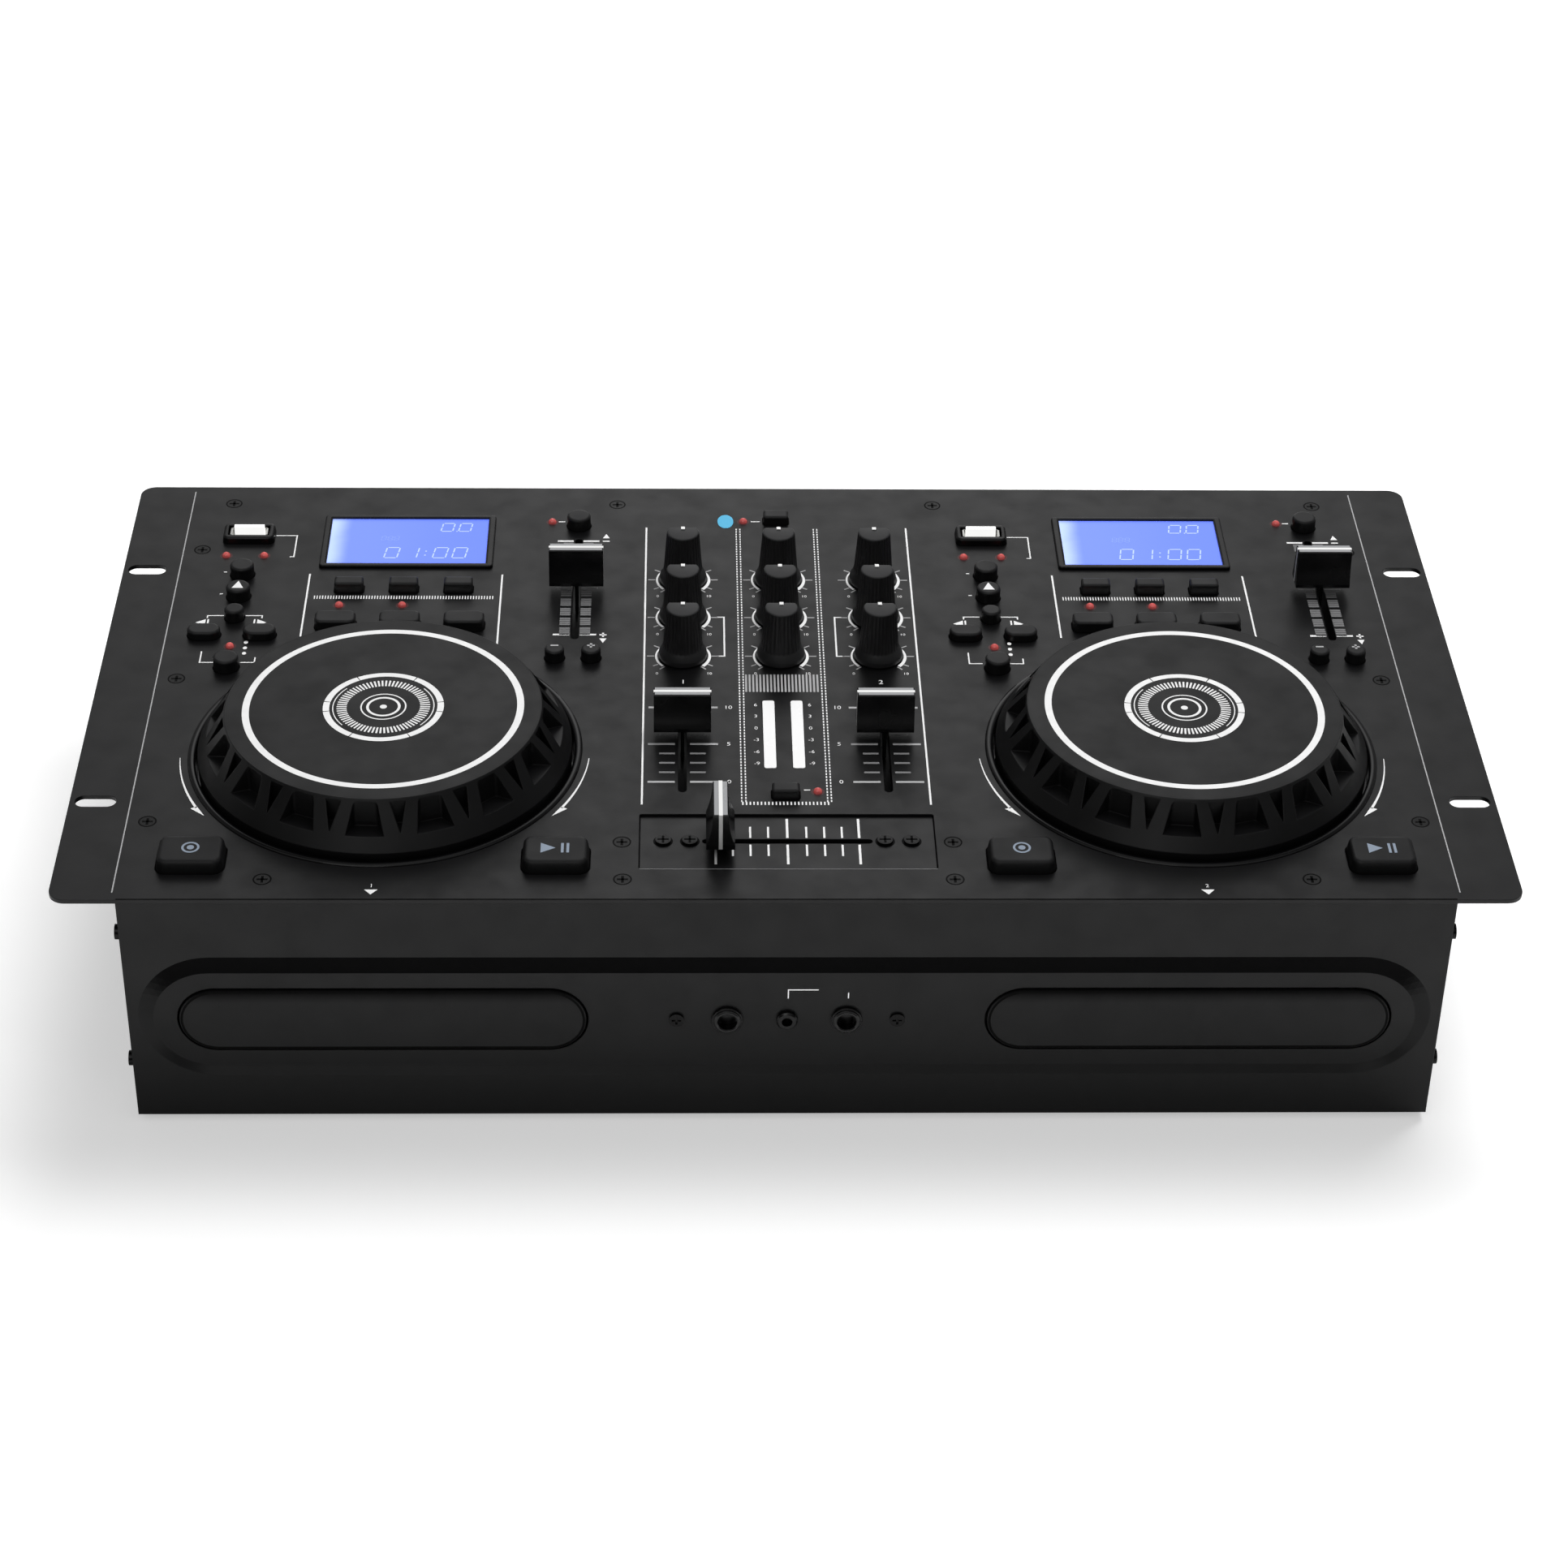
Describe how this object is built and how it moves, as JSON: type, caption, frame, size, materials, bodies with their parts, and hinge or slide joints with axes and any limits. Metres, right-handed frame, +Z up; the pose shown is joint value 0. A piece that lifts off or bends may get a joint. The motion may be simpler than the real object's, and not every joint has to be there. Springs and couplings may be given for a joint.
{
  "type": "dual disc player console",
  "caption": "Rack-width DJ console: twin disc players with front trays, displays and large jog wheels around a central mixer with knobs, faders and push buttons.",
  "frame": {"origin": "on the ground under the middle of the outline", "axes": "+X right along the front, +Y to the back, +Z up"},
  "size_m": [0.4826, 0.262, 0.1164],
  "materials": {
    "panel_paint": "satin charcoal paint",
    "case_paint": "matt black paint",
    "foot_rubber": "matt",
    "jog_rubber": "soft-touch black",
    "well_gloss": "glossy black",
    "bezel_plastic": "fine texture",
    "screen_window": "backlit window",
    "led_red": "clear red",
    "plate_paint": "satin charcoal paint",
    "screw_black": "black zinc",
    "socket_body": "moulded",
    "drive_plastic": "moulded",
    "board_laminate": "solder mask",
    "tray_plastic": "moulded",
    "tray_front_plastic": "fine texture",
    "spindle_plastic": "moulded",
    "knob_plastic": "soft-touch",
    "fader_cap": "two-tone",
    "rocker_plastic": "moulded",
    "transport_key": "translucent cap",
    "key_plastic": "satin"
  },
  "bodies": {
    "console": {"case_tub": "case_paint", "circuit_boards": "board_laminate", "crossfader_plate": "plate_paint", "disc_drives": "drive_plastic", "display_windows": "screen_window", "front_fascia": "case_paint", "indicator_leds": "led_red", "jog_wells": "well_gloss", "panel_bezels": "bezel_plastic", "panel_screws": "screw_black", "panel_sockets": "socket_body", "rubber_feet": "foot_rubber", "top_panel": "panel_paint"},
    "jog_wheel_left": {"jog_wheel_left": "jog_rubber"},
    "jog_wheel_right": {"jog_wheel_right": "jog_rubber"},
    "tray_left": {"disc_tray_left": "tray_plastic", "tray_front_left": "tray_front_plastic"},
    "tray_right": {"disc_tray_right": "tray_plastic", "tray_front_right": "tray_front_plastic"},
    "pitch_fader_left": {"pitch_fader_left": "fader_cap"},
    "pitch_fader_right": {"pitch_fader_right": "fader_cap"},
    "channel_fader_left": {"channel_fader_left": "fader_cap"},
    "channel_fader_right": {"channel_fader_right": "fader_cap"},
    "crossfader": {"crossfader": "fader_cap"},
    "cue_button_left": {"cue_button_left": "transport_key"},
    "play_button_left": {"play_button_left": "transport_key"},
    "cue_button_right": {"cue_button_right": "transport_key"},
    "play_button_right": {"play_button_right": "transport_key"},
    "knob_left_upper": {"knob_left_upper": "knob_plastic"},
    "knob_centre_upper": {"knob_centre_upper": "knob_plastic"},
    "knob_right_upper": {"knob_right_upper": "knob_plastic"},
    "knob_left_middle": {"knob_left_middle": "knob_plastic"},
    "knob_centre_middle": {"knob_centre_middle": "knob_plastic"},
    "knob_right_middle": {"knob_right_middle": "knob_plastic"},
    "knob_left_lower": {"knob_left_lower": "knob_plastic"},
    "knob_centre_lower": {"knob_centre_lower": "knob_plastic"},
    "knob_right_lower": {"knob_right_lower": "knob_plastic"},
    "select_button_left": {"select_button_left": "key_plastic"},
    "eject_button_left": {"eject_button_left": "key_plastic"},
    "track_button_left": {"track_button_left": "key_plastic"},
    "search_keys_left": {"search_keys_left": "key_plastic"},
    "jog_mode_button_left": {"jog_mode_button_left": "key_plastic"},
    "pitch_button_left": {"pitch_button_left": "key_plastic"},
    "pitch_bend_keys_left": {"pitch_bend_keys_left": "key_plastic"},
    "program_keys_left": {"program_keys_left": "key_plastic"},
    "loop_keys_left": {"loop_keys_left": "key_plastic"},
    "select_button_right": {"select_button_right": "key_plastic"},
    "eject_button_right": {"eject_button_right": "key_plastic"},
    "track_button_right": {"track_button_right": "key_plastic"},
    "search_keys_right": {"search_keys_right": "key_plastic"},
    "jog_mode_button_right": {"jog_mode_button_right": "key_plastic"},
    "pitch_button_right": {"pitch_button_right": "key_plastic"},
    "pitch_bend_keys_right": {"pitch_bend_keys_right": "key_plastic"},
    "program_keys_right": {"program_keys_right": "key_plastic"},
    "loop_keys_right": {"loop_keys_right": "key_plastic"},
    "wireless_button": {"wireless_button": "key_plastic"},
    "relay_button": {"relay_button": "key_plastic"},
    "power_switch": {"power_switch": "rocker_plastic"},
    "spindle_left": {"spindle_left": "spindle_plastic"},
    "spindle_right": {"spindle_right": "spindle_plastic"}
  },
  "joints": [
    {"name": "jog_turn_left", "type": "hinge", "parent": "console", "child": "jog_wheel_left", "pos_m": [-0.1371, -0.0459, 0.0952], "axis": [0, 0, 1], "continuous": true},
    {"name": "jog_turn_right", "type": "hinge", "parent": "console", "child": "jog_wheel_right", "pos_m": [0.1371, -0.0459, 0.0952], "axis": [0, 0, 1], "continuous": true},
    {"name": "tray_slide_left", "type": "slide", "parent": "console", "child": "tray_left", "axis": [0, -1, 0], "range_m": [0, 0.132]},
    {"name": "tray_slide_right", "type": "slide", "parent": "console", "child": "tray_right", "axis": [0, -1, 0], "range_m": [0, 0.132]},
    {"name": "pitch_slide_left", "type": "slide", "parent": "console", "child": "pitch_fader_left", "axis": [0, 1, 0], "range_m": [-0.03, 0.03]},
    {"name": "pitch_slide_right", "type": "slide", "parent": "console", "child": "pitch_fader_right", "axis": [0, 1, 0], "range_m": [-0.03, 0.03]},
    {"name": "channel_slide_left", "type": "slide", "parent": "console", "child": "channel_fader_left", "axis": [0, 1, 0], "range_m": [-0.02895, 0.01605]},
    {"name": "channel_slide_right", "type": "slide", "parent": "console", "child": "channel_fader_right", "axis": [0, 1, 0], "range_m": [-0.02895, 0.01605]},
    {"name": "cross_slide", "type": "slide", "parent": "console", "child": "crossfader", "axis": [1, 0, 0], "range_m": [0, 0.0449]},
    {"name": "cue_press_left", "type": "slide", "parent": "console", "child": "cue_button_left", "axis": [0, 0, -1], "range_m": [0, 0.0015], "stiffness_N_per_m": 800, "springref_m": -0.0006},
    {"name": "play_press_left", "type": "slide", "parent": "console", "child": "play_button_left", "axis": [0, 0, -1], "range_m": [0, 0.0015], "stiffness_N_per_m": 800, "springref_m": -0.0006},
    {"name": "cue_press_right", "type": "slide", "parent": "console", "child": "cue_button_right", "axis": [0, 0, -1], "range_m": [0, 0.0015], "stiffness_N_per_m": 800, "springref_m": -0.0006},
    {"name": "play_press_right", "type": "slide", "parent": "console", "child": "play_button_right", "axis": [0, 0, -1], "range_m": [0, 0.0015], "stiffness_N_per_m": 800, "springref_m": -0.0006},
    {"name": "turn_left_upper", "type": "hinge", "parent": "console", "child": "knob_left_upper", "pos_m": [-0.035, 0.0637, 0.0952], "axis": [0, 0, 1], "range_deg": [-150, 150]},
    {"name": "turn_centre_upper", "type": "hinge", "parent": "console", "child": "knob_centre_upper", "pos_m": [0, 0.0637, 0.0952], "axis": [0, 0, 1], "range_deg": [-150, 150]},
    {"name": "turn_right_upper", "type": "hinge", "parent": "console", "child": "knob_right_upper", "pos_m": [0.035, 0.0637, 0.0952], "axis": [0, 0, 1], "range_deg": [-150, 150]},
    {"name": "turn_left_middle", "type": "hinge", "parent": "console", "child": "knob_left_middle", "pos_m": [-0.035, 0.0382, 0.0952], "axis": [0, 0, 1], "range_deg": [-150, 150]},
    {"name": "turn_centre_middle", "type": "hinge", "parent": "console", "child": "knob_centre_middle", "pos_m": [0, 0.0382, 0.0952], "axis": [0, 0, 1], "range_deg": [-150, 150]},
    {"name": "turn_right_middle", "type": "hinge", "parent": "console", "child": "knob_right_middle", "pos_m": [0.035, 0.0382, 0.0952], "axis": [0, 0, 1], "range_deg": [-150, 150]},
    {"name": "turn_left_lower", "type": "hinge", "parent": "console", "child": "knob_left_lower", "pos_m": [-0.035, 0.0128, 0.0952], "axis": [0, 0, 1], "range_deg": [-150, 150]},
    {"name": "turn_centre_lower", "type": "hinge", "parent": "console", "child": "knob_centre_lower", "pos_m": [0, 0.0128, 0.0952], "axis": [0, 0, 1], "range_deg": [-150, 150]},
    {"name": "turn_right_lower", "type": "hinge", "parent": "console", "child": "knob_right_lower", "pos_m": [0.035, 0.0128, 0.0952], "axis": [0, 0, 1], "range_deg": [-150, 150]},
    {"name": "select_press_left", "type": "slide", "parent": "console", "child": "select_button_left", "axis": [0, 0, -1], "range_m": [0, 0.001], "stiffness_N_per_m": 800, "springref_m": -0.0006},
    {"name": "eject_press_left", "type": "slide", "parent": "console", "child": "eject_button_left", "axis": [0, 0, -1], "range_m": [0, 0.001], "stiffness_N_per_m": 800, "springref_m": -0.0006},
    {"name": "track_press_left", "type": "slide", "parent": "console", "child": "track_button_left", "axis": [0, 0, -1], "range_m": [0, 0.001], "stiffness_N_per_m": 800, "springref_m": -0.0006},
    {"name": "search_press_left", "type": "slide", "parent": "console", "child": "search_keys_left", "axis": [0, 0, -1], "range_m": [0, 0.001], "stiffness_N_per_m": 800, "springref_m": -0.0006},
    {"name": "jog_mode_press_left", "type": "slide", "parent": "console", "child": "jog_mode_button_left", "axis": [0, 0, -1], "range_m": [0, 0.001], "stiffness_N_per_m": 800, "springref_m": -0.0006},
    {"name": "pitch_press_left", "type": "slide", "parent": "console", "child": "pitch_button_left", "axis": [0, 0, -1], "range_m": [0, 0.001], "stiffness_N_per_m": 800, "springref_m": -0.0006},
    {"name": "pitch_bend_press_left", "type": "slide", "parent": "console", "child": "pitch_bend_keys_left", "axis": [0, 0, -1], "range_m": [0, 0.001], "stiffness_N_per_m": 800, "springref_m": -0.0006},
    {"name": "program_press_left", "type": "slide", "parent": "console", "child": "program_keys_left", "axis": [0, 0, -1], "range_m": [0, 0.001], "stiffness_N_per_m": 800, "springref_m": -0.0006},
    {"name": "loop_press_left", "type": "slide", "parent": "console", "child": "loop_keys_left", "axis": [0, 0, -1], "range_m": [0, 0.001], "stiffness_N_per_m": 800, "springref_m": -0.0006},
    {"name": "select_press_right", "type": "slide", "parent": "console", "child": "select_button_right", "axis": [0, 0, -1], "range_m": [0, 0.001], "stiffness_N_per_m": 800, "springref_m": -0.0006},
    {"name": "eject_press_right", "type": "slide", "parent": "console", "child": "eject_button_right", "axis": [0, 0, -1], "range_m": [0, 0.001], "stiffness_N_per_m": 800, "springref_m": -0.0006},
    {"name": "track_press_right", "type": "slide", "parent": "console", "child": "track_button_right", "axis": [0, 0, -1], "range_m": [0, 0.001], "stiffness_N_per_m": 800, "springref_m": -0.0006},
    {"name": "search_press_right", "type": "slide", "parent": "console", "child": "search_keys_right", "axis": [0, 0, -1], "range_m": [0, 0.001], "stiffness_N_per_m": 800, "springref_m": -0.0006},
    {"name": "jog_mode_press_right", "type": "slide", "parent": "console", "child": "jog_mode_button_right", "axis": [0, 0, -1], "range_m": [0, 0.001], "stiffness_N_per_m": 800, "springref_m": -0.0006},
    {"name": "pitch_press_right", "type": "slide", "parent": "console", "child": "pitch_button_right", "axis": [0, 0, -1], "range_m": [0, 0.001], "stiffness_N_per_m": 800, "springref_m": -0.0006},
    {"name": "pitch_bend_press_right", "type": "slide", "parent": "console", "child": "pitch_bend_keys_right", "axis": [0, 0, -1], "range_m": [0, 0.001], "stiffness_N_per_m": 800, "springref_m": -0.0006},
    {"name": "program_press_right", "type": "slide", "parent": "console", "child": "program_keys_right", "axis": [0, 0, -1], "range_m": [0, 0.001], "stiffness_N_per_m": 800, "springref_m": -0.0006},
    {"name": "loop_press_right", "type": "slide", "parent": "console", "child": "loop_keys_right", "axis": [0, 0, -1], "range_m": [0, 0.001], "stiffness_N_per_m": 800, "springref_m": -0.0006},
    {"name": "wireless_press", "type": "slide", "parent": "console", "child": "wireless_button", "axis": [0, 0, -1], "range_m": [0, 0.001], "stiffness_N_per_m": 800, "springref_m": -0.0006},
    {"name": "relay_press", "type": "slide", "parent": "console", "child": "relay_button", "axis": [0, 0, -1], "range_m": [0, 0.001], "stiffness_N_per_m": 800, "springref_m": -0.0006},
    {"name": "power_rock", "type": "hinge", "parent": "console", "child": "power_switch", "pos_m": [0.168, 0.12, 0.048], "axis": [-1, 0, 0], "range_deg": [0, 20]},
    {"name": "spindle_turn_left", "type": "hinge", "parent": "console", "child": "spindle_left", "pos_m": [-0.13495, -0.05824, 0.0346], "axis": [0, 0, 1], "continuous": true},
    {"name": "spindle_turn_right", "type": "hinge", "parent": "console", "child": "spindle_right", "pos_m": [0.13495, -0.05824, 0.0346], "axis": [0, 0, 1], "continuous": true}
  ]
}
